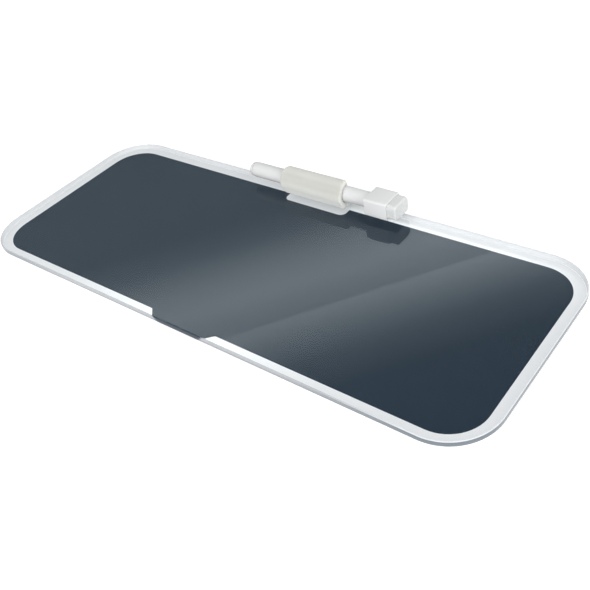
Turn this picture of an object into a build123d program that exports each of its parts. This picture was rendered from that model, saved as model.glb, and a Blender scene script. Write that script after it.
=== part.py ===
from build123d import *
import os

os.makedirs("parts", exist_ok=True)

# Desktop glass writing board with a slim marker in a soft loop on its rear border.
# Millimetres. +Z up, +X along the board towards the marker's cap, +Y to the rear.
# The origin is under the centre of the glass, on the plane that the feet stand on.

# Board outline
board_length = 380
board_depth = 150
board_corner_radius = 30

# Layers, from the feet up
foot_height = 1.6
backing_thickness = 0.6
print_thickness = 0.15
glass_thickness = 3.8

# Eased edges of the glass
top_arris = 0.5
bottom_arris = 0.9

# Dark writing panel and the pale border round it
border_width = 7.6
print_inset = 1.0
backing_inset = 1.6
front_tab_width = 51.6
front_tab_tip_radius = 5.5
rear_notch_radius = 4.0
rear_notch_inset = 0.4
rear_notch_margin = 2.3

# Feet
foot_diameter = 14
foot_end_inset = 28
foot_side_inset = 20
foot_edge_radius = 0.5

# Soft loop that holds the marker
holder_length = 50
holder_wall = 2.85
holder_end_arc_radius = 22.8
holder_end_arc_offset = 6.8
holder_end_radius = 1.1
flange_width = 9.4
flange_thickness = 0.9
flange_corner_radius = 2.2
holder_web_head_width = 14.4
holder_web_head_drop = 3.5
tape_thickness = 0.3
tape_inset = 0.5

# Marker
pen_radius = 5.2
barrel_length = 99.4
barrel_wall = 1.0
barrel_rear_radius = 0.8
tail_overhang = 30.1
tail_head_radius = 4.7
tail_head_length = 2.7
tail_head_rounding = 2.0
tail_stem_length = 7.5
tail_stem_wall = 0.8
reservoir_radius = 4.0
reservoir_sleeve_wall = 0.2
section_stem_length = 6.3
section_collar_radius = 4.9
section_collar_length = 0.7
section_seal_radius = 3.85
section_seal_length = 1.5
section_cone_base_radius = 3.4
section_cone_tip_radius = 2.3
section_cone_length = 1.5
nib_radius = 1.5
nib_projection = 1.7
nib_tip_rounding = 1.2
nib_depth_in_reservoir = 5.5

# Cap block with its eraser
cap_length = 16.5
cap_width = 16.6
cap_height = 11.9
cap_edge_radius = 1.5
cap_end_chamfer = 0.4
cap_grip = 3.9
cap_front_wall = 0.8
liner_wall = 0.8
liner_floor = 0.6
eraser_pocket_depth = 1.5
eraser_rim = 0.5
eraser_projection = 6.6
eraser_edge_radius = 2.7
eraser_end_radius = 1.3
eraser_tape_thickness = 0.2

# Clearances
press_clearance = 0.02
running_clearance = 0.05
cap_clearance = 0.04
seal_clearance = 0.05
end_clearance = 0.3
eraser_clearance = 0.1
cut_overrun = 1.0

# Heights of the layers
backing_bottom = foot_height
print_bottom = backing_bottom + backing_thickness
glass_bottom = print_bottom + print_thickness
glass_top = glass_bottom + glass_thickness

# Marker axis, with the loop's back flush with the glass edge
holder_bore_radius = pen_radius + running_clearance
holder_radius = holder_bore_radius + holder_wall
flange_bottom = glass_top + tape_thickness
flange_top = flange_bottom + flange_thickness
pen_y = board_depth / 2 - holder_radius
pen_z = flange_top + holder_radius

# Stations along the marker, from its tail to the eraser
tail_end = -holder_length / 2 - tail_overhang
barrel_rear = tail_end + tail_head_length
barrel_front = barrel_rear + barrel_length
barrel_bore_radius = pen_radius - barrel_wall
stem_radius = barrel_bore_radius - press_clearance
tail_stem_end = barrel_rear + tail_stem_length
section_rear = barrel_front - section_stem_length
section_collar_front = barrel_front + section_collar_length
section_seal_front = section_collar_front + section_seal_length
section_tip = section_seal_front + section_cone_length
nib_tip = section_tip + nib_projection
nib_bore_radius = nib_radius + press_clearance
reservoir_rear = tail_stem_end
reservoir_front = section_rear
nib_rear = reservoir_front - nib_depth_in_reservoir
cap_rear = barrel_front - cap_grip
cap_front = cap_rear + cap_length
eraser_seat = cap_front - eraser_pocket_depth
liner_rear = section_collar_front + end_clearance
liner_front = eraser_seat - cap_front_wall
liner_inner_radius = section_seal_radius + seal_clearance
liner_outer_radius = liner_inner_radius + liner_wall
eraser_width = cap_width - 2 * (eraser_rim + eraser_clearance)
eraser_height = cap_height - 2 * (eraser_rim + eraser_clearance)

print_plane = Plane.XY.offset(print_bottom)
pen_profile = Plane(origin=(0, pen_y, pen_z), x_dir=(1, 0, 0), z_dir=(0, -1, 0))
pen_axis = Axis((0, pen_y, pen_z), (1, 0, 0))


def across_pen(station):
    """The plane square to the marker at a station along it, with local x to the rear."""
    return Plane(origin=(station, pen_y, pen_z), x_dir=(0, 1, 0), z_dir=(1, 0, 0))


def turned_span(start, end, inner, outer):
    """One rectangle of a turned profile, between two stations and two radii."""
    with Locations(((start + end) / 2, (inner + outer) / 2)):
        Rectangle(end - start, outer - inner)


# Glass sheet with eased edges
with BuildPart() as glass_sheet:
    with BuildSketch(Plane.XY.offset(glass_bottom)):
        RectangleRounded(board_length, board_depth, board_corner_radius)
    extrude(amount=glass_thickness)
    chamfer(glass_sheet.faces().sort_by(Axis.Z)[-1].edges(), top_arris)
    chamfer(glass_sheet.faces().sort_by(Axis.Z)[0].edges(), bottom_arris)
glass_sheet.part.label = "glass_sheet"
export_step(glass_sheet.part, "parts/glass_sheet.step")

# Tab of the dark print that runs out to the front edge, with 45 degree sides
panel_front = border_width - board_depth / 2
tab_front = print_inset - board_depth / 2
tab_depth = panel_front - tab_front
with BuildSketch(print_plane) as front_tab:
    with BuildLine():
        Polyline(
            (-front_tab_width / 2, panel_front + cut_overrun),
            (-front_tab_width / 2, panel_front),
            (-front_tab_width / 2 + tab_depth, tab_front),
            (front_tab_width / 2 - tab_depth, tab_front),
            (front_tab_width / 2, panel_front),
            (front_tab_width / 2, panel_front + cut_overrun),
            close=True,
        )
    make_face()
    fillet(front_tab.vertices().group_by(Axis.Y)[0], front_tab_tip_radius)

# Pale notch in the dark print, under the loop
notch_front = pen_y - flange_width / 2 - rear_notch_margin
notch_rear = board_depth / 2 - border_width + cut_overrun
with BuildSketch(print_plane) as rear_notch:
    with Locations((0, (notch_front + notch_rear) / 2)):
        Rectangle(holder_length - 2 * rear_notch_inset, notch_rear - notch_front)
    fillet(rear_notch.vertices().group_by(Axis.Y)[0], rear_notch_radius)

# Outline of the dark writing panel
with BuildSketch(print_plane) as panel_outline:
    RectangleRounded(
        board_length - 2 * border_width,
        board_depth - 2 * border_width,
        board_corner_radius - border_width,
    )
    add(front_tab.sketch)
    add(rear_notch.sketch, mode=Mode.SUBTRACT)

# Dark print under the glass
with BuildPart() as panel_print:
    add(panel_outline.sketch)
    extrude(amount=print_thickness)
panel_print.part.label = "panel_print"
export_step(panel_print.part, "parts/panel_print.step")

# Pale print under the glass, round the dark one
with BuildPart() as border_print:
    with BuildSketch(print_plane):
        RectangleRounded(
            board_length - 2 * print_inset,
            board_depth - 2 * print_inset,
            board_corner_radius - print_inset,
        )
        add(panel_outline.sketch, mode=Mode.SUBTRACT)
    extrude(amount=print_thickness)
border_print.part.label = "border_print"
export_step(border_print.part, "parts/border_print.step")

# Backing sheet that protects the prints and holds the glass together
with BuildPart() as backing_sheet:
    with BuildSketch(Plane.XY.offset(backing_bottom)):
        RectangleRounded(
            board_length - 2 * backing_inset,
            board_depth - 2 * backing_inset,
            board_corner_radius - backing_inset,
        )
    extrude(amount=backing_thickness)
backing_sheet.part.label = "backing_sheet"
export_step(backing_sheet.part, "parts/backing_sheet.step")

# Feet, two rows of three
foot_rows = {"front": foot_side_inset - board_depth / 2, "rear": board_depth / 2 - foot_side_inset}
foot_columns = {
    "left": foot_end_inset - board_length / 2,
    "middle": 0,
    "right": board_length / 2 - foot_end_inset,
}
for row, foot_y in foot_rows.items():
    for column, foot_x in foot_columns.items():
        with BuildPart() as foot:
            with BuildSketch(Plane.XY):
                with Locations((foot_x, foot_y)):
                    Circle(foot_diameter / 2)
            extrude(amount=foot_height)
            fillet(foot.edges().sort_by(Axis.Z)[0], foot_edge_radius)
        foot.part.label = f"foot_{row}_{column}"
        export_step(foot.part, f"parts/foot_{row}_{column}.step")

# Adhesive pad under the loop's flange
with BuildPart() as holder_tape:
    with BuildSketch(Plane.XY.offset(glass_top)):
        with Locations((0, pen_y)):
            RectangleRounded(
                holder_length - 2 * tape_inset,
                flange_width - 2 * tape_inset,
                flange_corner_radius - tape_inset,
            )
    extrude(amount=tape_thickness)
holder_tape.part.label = "holder_tape"
export_step(holder_tape.part, "parts/holder_tape.step")

# Soft loop: a tube on a web that narrows to its flange. The cap's end is rounded in plan
tube_half = holder_length / 2
web_foot_depth = pen_z - flange_bottom
end_arc_x = tube_half - holder_end_arc_radius
end_arc_y = pen_y - holder_end_arc_offset
with BuildPart() as pen_holder:
    with BuildSketch(across_pen(-tube_half)):
        Circle(holder_radius)
        with BuildLine():
            Polyline(
                (-holder_web_head_width / 2, -holder_web_head_drop),
                (-flange_width / 2, -web_foot_depth),
                (flange_width / 2, -web_foot_depth),
                (holder_web_head_width / 2, -holder_web_head_drop),
                close=True,
            )
        make_face()
    extrude(amount=holder_length)
    with BuildSketch(Plane.XY.offset(flange_bottom - cut_overrun)):
        with Locations((tube_half, pen_y)):
            Rectangle(holder_length / 2, 2 * (holder_radius + cut_overrun))
        with Locations((end_arc_x, end_arc_y)):
            Circle(holder_end_arc_radius, mode=Mode.SUBTRACT)
    extrude(amount=2 * (web_foot_depth + cut_overrun), mode=Mode.SUBTRACT)
    ends = [pen_holder.faces().sort_by(Axis.X)[index] for index in (0, -1)]
    end_edges = [edge for face in ends for edge in face.edges().sort_by(Axis.Z)[1:]]
    fillet(end_edges, holder_end_radius)
    with BuildSketch(Plane.XY.offset(flange_bottom)):
        with Locations((0, pen_y)):
            RectangleRounded(holder_length, flange_width, flange_corner_radius)
    extrude(amount=flange_thickness)
    with BuildSketch(across_pen(-tube_half - cut_overrun)):
        Circle(holder_bore_radius)
    extrude(amount=holder_length + 2 * cut_overrun, mode=Mode.SUBTRACT)
pen_holder.part.label = "pen_holder"
export_step(pen_holder.part, "parts/pen_holder.step")

# Marker barrel, a straight tube with a rounded rear rim
with BuildPart() as pen_barrel:
    with BuildSketch(pen_profile):
        turned_span(barrel_rear, barrel_front, barrel_bore_radius, pen_radius)
    revolve(axis=pen_axis)
    rear_edges = pen_barrel.edges().group_by(Axis.X)[0]
    fillet(rear_edges.sort_by(SortBy.RADIUS)[-1], barrel_rear_radius)
pen_barrel.part.label = "pen_barrel"
export_step(pen_barrel.part, "parts/pen_barrel.step")

# Tail plug, a rounded head on a hollow stem that presses into the barrel
with BuildPart() as tail_plug:
    with BuildSketch(pen_profile):
        turned_span(tail_end, barrel_rear, 0, tail_head_radius)
        turned_span(barrel_rear, tail_stem_end, stem_radius - tail_stem_wall, stem_radius)
    revolve(axis=pen_axis)
    fillet(tail_plug.edges().group_by(Axis.X)[0].sort_by(SortBy.RADIUS)[-1], tail_head_rounding)
tail_plug.part.label = "tail_plug"
export_step(tail_plug.part, "parts/tail_plug.step")

# Ink reservoir, a fibre rod in a thin sleeve
core_radius = reservoir_radius - reservoir_sleeve_wall - press_clearance
with BuildPart() as reservoir_core:
    with BuildSketch(pen_profile):
        turned_span(reservoir_rear, nib_rear, 0, core_radius)
        turned_span(nib_rear, reservoir_front, nib_bore_radius, core_radius)
    revolve(axis=pen_axis)
reservoir_core.part.label = "reservoir_core"
export_step(reservoir_core.part, "parts/reservoir_core.step")

with BuildPart() as reservoir_sleeve:
    with BuildSketch(pen_profile):
        turned_span(
            reservoir_rear,
            reservoir_front,
            reservoir_radius - reservoir_sleeve_wall,
            reservoir_radius,
        )
    revolve(axis=pen_axis)
reservoir_sleeve.part.label = "reservoir_sleeve"
export_step(reservoir_sleeve.part, "parts/reservoir_sleeve.step")

# Nib section: stem in the barrel, collar on its rim, seal land and cone
with BuildPart() as nib_section:
    with BuildSketch(pen_profile):
        turned_span(section_rear, barrel_front, nib_bore_radius, stem_radius)
        turned_span(barrel_front, section_collar_front, nib_bore_radius, section_collar_radius)
        turned_span(section_collar_front, section_seal_front, nib_bore_radius, section_seal_radius)
        with BuildLine():
            Polyline(
                (section_seal_front, nib_bore_radius),
                (section_seal_front, section_cone_base_radius),
                (section_tip, section_cone_tip_radius),
                (section_tip, nib_bore_radius),
                close=True,
            )
        make_face()
    revolve(axis=pen_axis)
nib_section.part.label = "nib_section"
export_step(nib_section.part, "parts/nib_section.step")

# Bullet nib
with BuildPart() as nib:
    with BuildSketch(pen_profile):
        turned_span(nib_rear, nib_tip, 0, nib_radius)
    revolve(axis=pen_axis)
    fillet(nib.edges().group_by(Axis.X)[-1], nib_tip_rounding)
nib.part.label = "nib"
export_step(nib.part, "parts/nib.step")

# Cap block: a rounded bar with a stepped socket at its rear and the eraser's pocket in front
with BuildPart() as cap_block:
    with BuildSketch(across_pen(cap_rear)):
        RectangleRounded(cap_width, cap_height, cap_edge_radius)
    extrude(amount=cap_length)
    chamfer(cap_block.faces().sort_by(Axis.X)[0].edges(), cap_end_chamfer)
    chamfer(cap_block.faces().sort_by(Axis.X)[-1].edges(), cap_end_chamfer)
    with BuildSketch(across_pen(cap_rear - cut_overrun)):
        Circle(pen_radius + cap_clearance)
    extrude(amount=liner_rear - cap_rear + cut_overrun, mode=Mode.SUBTRACT)
    with BuildSketch(across_pen(liner_rear - cut_overrun)):
        Circle(liner_outer_radius + press_clearance)
    extrude(amount=liner_front - liner_rear + cut_overrun, mode=Mode.SUBTRACT)
    with BuildSketch(across_pen(eraser_seat)):
        RectangleRounded(
            cap_width - 2 * eraser_rim,
            cap_height - 2 * eraser_rim,
            eraser_edge_radius + eraser_clearance,
        )
    extrude(amount=eraser_pocket_depth + cut_overrun, mode=Mode.SUBTRACT)
cap_block.part.label = "cap_block"
export_step(cap_block.part, "parts/cap_block.step")

# Liner cup in the cap, which seals on the nib section
with BuildPart() as cap_liner:
    with BuildSketch(pen_profile):
        turned_span(liner_rear, liner_front - liner_floor, liner_inner_radius, liner_outer_radius)
        turned_span(liner_front - liner_floor, liner_front, 0, liner_outer_radius)
    revolve(axis=pen_axis)
cap_liner.part.label = "cap_liner"
export_step(cap_liner.part, "parts/cap_liner.step")

# Adhesive pad in the eraser's pocket
with BuildPart() as eraser_tape:
    with BuildSketch(across_pen(eraser_seat)):
        RectangleRounded(eraser_width, eraser_height, eraser_edge_radius)
    extrude(amount=eraser_tape_thickness)
eraser_tape.part.label = "eraser_tape"
export_step(eraser_tape.part, "parts/eraser_tape.step")

# Felt eraser
with BuildPart() as eraser_felt:
    with BuildSketch(across_pen(eraser_seat + eraser_tape_thickness)):
        RectangleRounded(eraser_width, eraser_height, eraser_edge_radius)
    extrude(amount=eraser_pocket_depth - eraser_tape_thickness + eraser_projection)
    fillet(eraser_felt.faces().sort_by(Axis.X)[-1].edges(), eraser_end_radius)
eraser_felt.part.label = "eraser_felt"
export_step(eraser_felt.part, "parts/eraser_felt.step")
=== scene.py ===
"""A glass desk whiteboard with a marker in a soft loop, dressed round its CAD frame."""

import math
import random

import bmesh
import bpy
from mathutils import Matrix, Vector, noise


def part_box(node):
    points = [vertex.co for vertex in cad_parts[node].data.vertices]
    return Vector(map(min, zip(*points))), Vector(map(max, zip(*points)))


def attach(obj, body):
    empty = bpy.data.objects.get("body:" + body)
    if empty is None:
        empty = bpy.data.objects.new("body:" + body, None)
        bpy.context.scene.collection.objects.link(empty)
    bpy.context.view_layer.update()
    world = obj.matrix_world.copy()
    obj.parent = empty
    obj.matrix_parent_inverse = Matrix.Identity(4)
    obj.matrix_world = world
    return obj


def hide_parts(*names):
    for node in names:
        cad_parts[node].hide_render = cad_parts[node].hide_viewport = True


bl_info = {
    "name": "Desk Whiteboard",
    "version": (1, 0, 0),
    "blender": (4, 5, 0),
    "location": "3D View > Sidebar > Whiteboard",
    "description": "Builds a glass desk whiteboard with its marker, and a studio round it",
    "category": "Object",
}

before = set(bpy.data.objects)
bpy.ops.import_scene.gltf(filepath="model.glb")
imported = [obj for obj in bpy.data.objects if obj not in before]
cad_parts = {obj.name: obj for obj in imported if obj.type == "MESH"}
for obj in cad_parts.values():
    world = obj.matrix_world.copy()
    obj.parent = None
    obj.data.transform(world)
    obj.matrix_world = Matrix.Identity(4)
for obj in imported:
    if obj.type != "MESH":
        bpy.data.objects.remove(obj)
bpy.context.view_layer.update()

MM = 0.001
PANE_LOW, PANE_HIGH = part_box("glass_sheet")
BARREL_LOW, BARREL_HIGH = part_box("pen_barrel")
LOOP_LOW, LOOP_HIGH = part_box("pen_holder")
TAIL_LOW, TAIL_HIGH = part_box("tail_plug")
BLOCK_LOW, BLOCK_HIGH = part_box("cap_block")
LINER_LOW, LINER_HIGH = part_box("cap_liner")
FELT_LOW, FELT_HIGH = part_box("eraser_felt")
AXIS_Y = (BARREL_LOW.y + BARREL_HIGH.y) / 2
AXIS_Z = (BARREL_LOW.z + BARREL_HIGH.z) / 2
FOOT_NODES = sorted(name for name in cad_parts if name.startswith("foot_"))

# Points closer than this are one point, and a looser bound for points that an operation moved
SAME = 1e-7
NEAR = 1e-6
# A face whose normal stands steeper than this lies level
LEVEL = 0.999
# How far a cutter stands out past the face that it opens
OVERRUN = 1 * MM
WHITE = (1.0, 1.0, 1.0)
BLACK = (0.0, 0.0, 0.0)


# Settings


def length(name, description, default):
    """A length that a user may change, in metres."""
    return bpy.props.FloatProperty(
        name=name, description=description, default=default, unit="LENGTH", precision=5
    )


def colour(name, description, default):
    """A linear colour that a user may change."""
    return bpy.props.FloatVectorProperty(
        name=name, description=description, default=default, subtype="COLOR", size=3, min=0, max=1
    )


def position(name, description, default):
    """A place that a user may change."""
    return bpy.props.FloatVectorProperty(
        name=name, description=description, default=default, subtype="TRANSLATION", unit="LENGTH"
    )


def amount(name, description, default, low=0):
    """A plain number that a user may change."""
    return bpy.props.FloatProperty(name=name, description=description, default=default, min=low)


class BoardSettings(bpy.types.PropertyGroup):
    """The glass, its prints and the backing sheet."""

    corner_radius: length("Corner radius", "Radius of the glass in plan", 30 * MM)
    top_arris: length("Top arris", "Rounding of the upper glass edge", 0.55 * MM)
    bottom_arris: length("Bottom arris", "Rounding of the lower glass edge", 0.9 * MM)
    bond_gap: length("Bond gap", "Film between the glass and its colour coats", 0.02 * MM)
    border_width: length("Border width", "Width of the white border", 7.6 * MM)
    tab_half: length("Tab half", "Half the width of the dark tab at the front edge", 20 * MM)
    tab_middle: length("Tab middle", "Where the dark tab is centred along the front edge", 3 * MM)
    glass_tint: colour("Glass tint", "Colour of light through the sheet", (0.996, 1.0, 1.0))
    # The inner edge colour is a painted reflection of the white border, seen in the edge from
    # inside
    painted_inner_reflection_colour: colour("Inner edge", "Edge seen from inside", (0.64, 0.655, 0.67))
    # The arris and edge colours are painted light and shade: a painted highlight on the arris,
    # painted light on the upper edge, painted shade at its foot and ends
    painted_arris_highlight_colour: colour("Arris", "Polished upper arris", (0.67, 0.69, 0.71))
    painted_edge_light_colour: colour("Edge", "Upper edge of the sheet, lit from inside", (0.405, 0.42, 0.435))
    painted_edge_foot_shade_colour: colour("Edge foot", "Lower edge of the sheet", (0.175, 0.195, 0.21))
    painted_edge_end_shade_colour: colour("Edge end", "Edge of the sheet at the far end", (0.13, 0.155, 0.18))
    # Painted shade darkening the white border towards its outer rim
    painted_rim_shade_share: amount("Rim shade", "Darkening of the border at its outer rim", 0.1)
    panel_colour: colour("Panel", "Dark coat of the writing panel", (0.0240, 0.0378, 0.0549))
    border_colour: colour("Border", "White coat round the panel", (0.81, 0.825, 0.845))
    backing_colour: colour("Backing", "Sheet under the coats", (0.50, 0.51, 0.52))


class FeetSettings(bpy.types.PropertyGroup):
    """The feet under the board."""

    rim_radius: length("Rim radius", "Rounding of a foot's lower rim", 0.5 * MM)
    ring_width: length("Ring width", "Width of the raised ring that stands on the desk", 2.2 * MM)
    dish_depth: length("Dish depth", "Hollow inside the ring", 0.25 * MM)
    dish_slope: length("Dish slope", "Width of the slope into the hollow", 0.5 * MM)
    foot_colour: colour("Foot", "Translucent silicone", (0.42, 0.44, 0.45))


class LoopSettings(bpy.types.PropertyGroup):
    """The soft loop that holds the marker."""

    bore_play: length("Bore play", "Room between the barrel and the soft bore", 0.25 * MM)
    end_radius: length("End radius", "Rounding of the tube's ends", 1.3 * MM)
    end_arc_radius: length("End arc", "Radius in plan of the end towards the cap", 22.8 * MM)
    end_arc_offset: length("End arc offset", "How far the arc's centre lies forward", 6.8 * MM)
    web_head_width: length("Web head", "Width of the web where it meets the tube", 14.4 * MM)
    web_head_drop: length("Web head drop", "How far below the axis the web starts", 3.5 * MM)
    flange_width: length("Flange width", "Depth of the flange on the glass", 9.4 * MM)
    flange_thickness: length("Flange thickness", "Height of the flange", 0.9 * MM)
    flange_corner: length("Flange corner", "Radius of the flange in plan", 2.2 * MM)
    voxel: length("Voxel", "Size of the cells that blend the loop into one skin", 0.3 * MM)
    loop_colour: colour("Loop", "Soft off-white silicone", (0.545, 0.55, 0.515))
    # Painted light: the loop's foot colour pales its foot and the top of its tube
    foot_colour: colour("Loop foot", "Silicone where it is solid", (0.84, 0.845, 0.80))
    tape_colour: colour("Loop adhesive", "Pad between the loop and the glass", (0.62, 0.64, 0.63))


class MarkerSettings(bpy.types.PropertyGroup):
    """The marker's barrel, plug and writing end."""

    rear_radius: length("Rear radius", "Depth of the barrel's rear shoulder", 0.95 * MM)
    rear_length: length("Rear length", "Length of the barrel's rear shoulder", 1.8 * MM)
    front_radius: length("Front radius", "Rounding of the barrel's front rim", 0.25 * MM)
    barrel_wall: length("Barrel wall", "Thickness of the barrel", 1.0 * MM)
    plug_rounding: length("Plug rounding", "Rounding of the tail plug", 2.0 * MM)
    seam_radius: length("Seam radius", "Rounding of the plug where it meets the barrel", 0.25 * MM)
    stem_play: length("Stem play", "Room between the plug's stem and the barrel", 0.05 * MM)
    barrel_colour: colour("Barrel", "White plastic", (0.66, 0.665, 0.665))
    section_colour: colour("Nib section", "White plastic", (0.62, 0.63, 0.64))
    film_colour: colour("Reservoir film", "Clear wrap", (0.6, 0.62, 0.64))
    nib_colour: colour("Nib", "Ink-stained fibre", (0.012, 0.012, 0.016))


class CapSettings(bpy.types.PropertyGroup):
    """The cap block and its eraser."""

    edge_radius: length("Edge radius", "Rounding of the block's long edges", 1.5 * MM)
    end_radius: length("End radius", "Rounding of the block's ends", 0.4 * MM)
    rim: length("Rim", "Wall round the eraser's pocket", 0.5 * MM)
    pocket_depth: length("Pocket depth", "Depth of the eraser's pocket", 1.5 * MM)
    socket_play: length("Socket play", "Room between the barrel and its socket", 0.04 * MM)
    felt_radius: length("Felt radius", "Rounding of the felt's long edges", 2.7 * MM)
    felt_end_radius: length("Felt end radius", "Rounding of the felt's face", 1.3 * MM)
    felt_play: length("Felt play", "Room between the felt and its pocket", 0.1 * MM)
    felt_rise: length("Felt rise", "Unevenness of the felt's face", 0.06 * MM)
    felt_slice: length("Felt slice", "Distance between the felt's rows of points", 0.35 * MM)
    fibre_length: length("Fibre length", "Longest loose fibre on the felt", 0.45 * MM)
    fibre_root_radius: length("Fibre root", "Radius of a fibre in the felt", 0.016 * MM)
    fibre_tip_radius: length("Fibre tip", "Radius of a fibre's free end", 0.006 * MM)
    fibre_count: bpy.props.IntProperty(
        name="Fibres", description="Loose fibres on the felt", default=1500, min=0
    )
    block_colour: colour("Block", "Satin white plastic", (0.71, 0.72, 0.72))
    felt_colour: colour("Felt", "Off-white felt", (0.68, 0.695, 0.69))
    liner_colour: colour("Liner", "Soft natural plastic", (0.66, 0.66, 0.64))
    tape_colour: colour("Felt adhesive", "Pad behind the felt", (0.62, 0.63, 0.62))


class StageSettings(bpy.types.PropertyGroup):
    """Camera, lamps and backdrop."""

    camera_place: position(
        "Camera place", "Where the camera stands", (296.83 * MM, -269.02 * MM, 292.8 * MM)
    )
    camera_turn: bpy.props.FloatVectorProperty(
        name="Camera turn",
        description="Tilt, roll and heading of the camera",
        default=(math.radians(50.182), math.radians(9.071), math.radians(37.622)),
        subtype="EULER",
    )
    lens: amount("Lens", "Focal length in millimetres", 48.217, low=1)
    sensor: amount("Sensor", "Sensor width in millimetres", 36.0, low=1)
    front_power: amount("Front power", "Power of the front lamp in watts", 19.0)
    front_place: position("Front place", "Where the front lamp hangs", (-0.1, -1.4, 0.65))
    front_size: length("Front size", "Side of the front lamp", 1.0)
    side_power: amount("Side power", "Power of the side lamp in watts", 38.0)
    side_place: position("Side place", "Where the side lamp hangs", (2.2, -0.4, 0.7))
    side_size: length("Side size", "Side of the side lamp", 1.5)
    back_power: amount("Back power", "Power of the back lamp in watts", 10.0)
    back_place: position("Back place", "Where the back lamp hangs", (0.5, 1.6, 0.4))
    back_size: length("Back size", "Side of the back lamp", 1.2)
    sky_strength: amount("Sky strength", "Light from all round", 0.47)
    floor_colour: colour("Floor", "Pale floor", (0.80, 0.80, 0.80))
    floor_size: length("Floor size", "Side of the floor", 6.0)
    floor_glow: amount("Floor glow", "Lift of the floor to white, to the eye", 0.5)
    floor_rise_start: length("Rise start", "Where the lift starts to grow outwards", 0.4)
    floor_rise_end: length("Rise end", "Where the lift is full", 1.4)
    card_height: length("Card height", "Height of the card that the glass mirrors", 1.0)
    card_reach: length("Card reach", "Half the side of the card", 2.2)
    card_fade_start: length("Card fade", "Where the card starts to fade outwards", 1.25)
    card_strength: amount("Card strength", "Brightest glow of the card", 4.5)
    card_colour: colour("Card", "Pale blue glow", (0.88, 0.97, 1.0))


# Material nodes

# The Mix node repeats its sockets' names for each kind of value, so its colours go by number
MIX_FIRST, MIX_SECOND, MIX_RESULT = 6, 7, 2


def new_finish(name):
    """A material with one Principled shader, its tree and that shader."""
    finish = bpy.data.materials.new(name)
    finish.use_nodes = True
    return finish, finish.node_tree, finish.node_tree.nodes["Principled BSDF"]


def put(node, values):
    """Sets inputs of a node to values or colours, or links other sockets to them."""
    for key, value in values.items():
        socket = node.inputs[key]
        if isinstance(value, bpy.types.NodeSocket):
            socket.id_data.links.new(value, socket)
        elif socket.type == "RGBA":
            socket.default_value = (*value, 1.0)
        else:
            socket.default_value = value


def add_node(tree, kind, values, **modes):
    """Adds a node of a kind, with its modes and inputs set."""
    node = tree.nodes.new(f"ShaderNode{kind}")
    for mode, choice in modes.items():
        setattr(node, mode, choice)
    put(node, values)
    return node


def own_place(tree):
    """A point in the object's own coordinates."""
    return add_node(tree, "TexCoord", {}).outputs["Object"]


def spot(tree):
    """The three coordinates of a point in the object's own frame."""
    return add_node(tree, "SeparateXYZ", {"Vector": own_place(tree)}).outputs


def pattern(tree, scale, detail=3.0, roughness=0.5, stretch=(1, 1, 1)):
    """Noise in the object's own coordinates, as a factor from 0 to 1."""
    place = add_node(tree, "Mapping", {"Vector": own_place(tree), "Scale": stretch})
    values = {"Scale": scale, "Detail": detail, "Roughness": roughness}
    values["Vector"] = place.outputs["Vector"]
    return add_node(tree, "TexNoise", values).outputs["Fac"]


def cells(tree, scale):
    """Distance to the nearest cell centre, in the object's own coordinates."""
    values = {"Vector": own_place(tree), "Scale": scale}
    return add_node(tree, "TexVoronoi", values).outputs["Distance"]


def spread(tree, factor, low, high, start=0.35, end=0.65):
    """A factor stretched to run from low to high."""
    values = {"Value": factor, "From Min": start, "From Max": end, "To Min": low, "To Max": high}
    return add_node(tree, "MapRange", values).outputs["Result"]


def between(tree, factor, first, second, blend="MIX"):
    """The mix of two colours by a factor, or another blend of them."""
    values = {"Factor": factor, MIX_FIRST: first, MIX_SECOND: second}
    mix = add_node(tree, "Mix", values, data_type="RGBA", blend_type=blend)
    return mix.outputs[MIX_RESULT]


def times(tree, first, second):
    """One colour multiplied by another."""
    return between(tree, 1.0, first, second, blend="MULTIPLY")


def reckon(tree, operation, first, second=0.0):
    """One sum on two factors."""
    return add_node(tree, "Math", {0: first, 1: second}, operation=operation).outputs[0]


def span(tree, vector):
    """The length of a vector."""
    return add_node(tree, "VectorMath", {0: vector}, operation="LENGTH").outputs["Value"]


def inward(tree, corner):
    """How far a point lies inside the board's outline, up to the corner's radius."""
    half = (PANE_HIGH.x - corner, PANE_HIGH.y - corner, 1.0)
    vector = own_place(tree)
    zero = (0, 0, 0)
    for operation, other in (("ABSOLUTE", zero), ("SUBTRACT", half), ("MAXIMUM", zero)):
        step = add_node(tree, "VectorMath", {0: vector, 1: other}, operation=operation)
        vector = step.outputs["Vector"]
    return reckon(tree, "SUBTRACT", corner, span(tree, vector))


def relief(tree, height, distance, strength, under=None):
    """A bumped normal from a height factor and a depth in metres."""
    values = {"Strength": strength, "Distance": distance, "Height": height}
    if under is not None:
        values["Normal"] = under
    return add_node(tree, "Bump", values).outputs["Normal"]


def shade(base, factor):
    """A colour made lighter or darker."""
    return tuple(channel * factor for channel in base)


def any_ray(tree, *kinds):
    """A factor that is 1 for rays of these kinds."""
    path = add_node(tree, "LightPath", {}).outputs
    found = path[f"Is {kinds[0]} Ray"]
    for kind in kinds[1:]:
        found = reckon(tree, "MAXIMUM", found, path[f"Is {kind} Ray"])
    return found


def mixed(tree, factor, first, second):
    """One shader faded into another by a factor."""
    return add_node(tree, "MixShader", {0: factor, 1: first, 2: second}).outputs["Shader"]


def see_through(tree, tint=WHITE):
    """A shader that lets rays straight through."""
    return add_node(tree, "BsdfTransparent", {"Color": tint}).outputs["BSDF"]


def seen_from_behind(tree):
    """A factor that is 1 where a face is seen from behind."""
    return add_node(tree, "NewGeometry", {}).outputs["Backfacing"]


def show(tree, surface):
    """Makes a shader the surface of its material."""
    put(tree.nodes["Material Output"], {"Surface": surface})


# Finishes

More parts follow.
